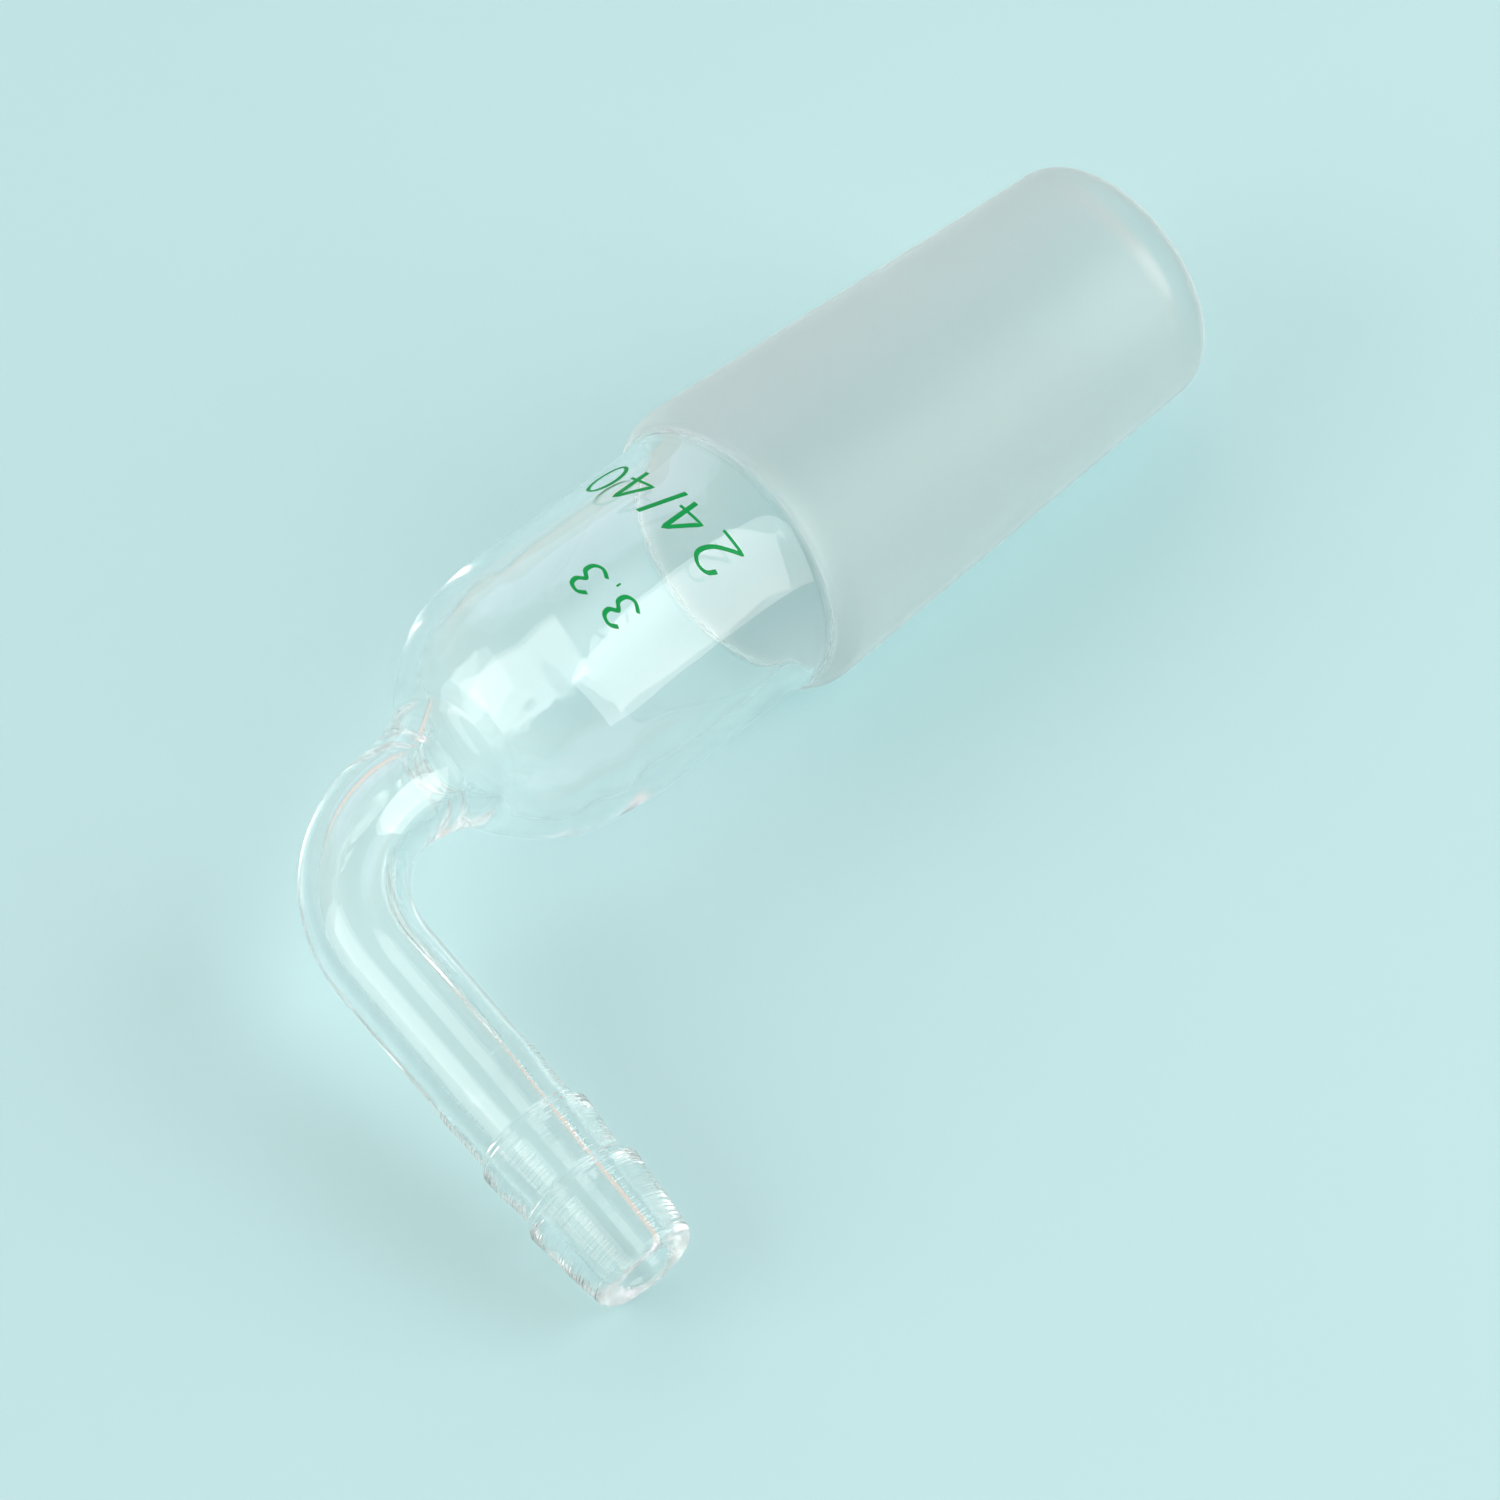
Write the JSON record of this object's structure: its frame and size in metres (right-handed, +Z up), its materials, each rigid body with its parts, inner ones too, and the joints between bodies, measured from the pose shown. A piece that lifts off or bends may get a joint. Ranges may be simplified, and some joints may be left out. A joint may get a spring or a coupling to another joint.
{
  "type": "bent hose adapter",
  "caption": "Glass adapter: a ground taper joint, a clear neck with a domed end, and a thin side tube bent sideways to a ridged hose connection.",
  "frame": {"origin": "On the bench, under the middle of the adapter's own box, as it lies at rest on the cone and on the hose connection's tip.", "axes": "+X is level and follows the joint's axis towards the open ground end (the axis itself dips 2.9 degrees towards +X); the hose connection points towards -Y; +Z is up from the bench."},
  "size_m": [0.0932, 0.0504, 0.0237],
  "materials": {
    "clear_glass": "clear, fire-polished",
    "ground_glass": "ground, frosted outside"
  },
  "bodies": {
    "root": {"polished_lip": "clear_glass", "ground_cone": "ground_glass", "clear_neck": "clear_glass", "domed_end": "clear_glass", "bent_tube": "clear_glass", "hose_barb": "clear_glass"}
  },
  "joints": []
}
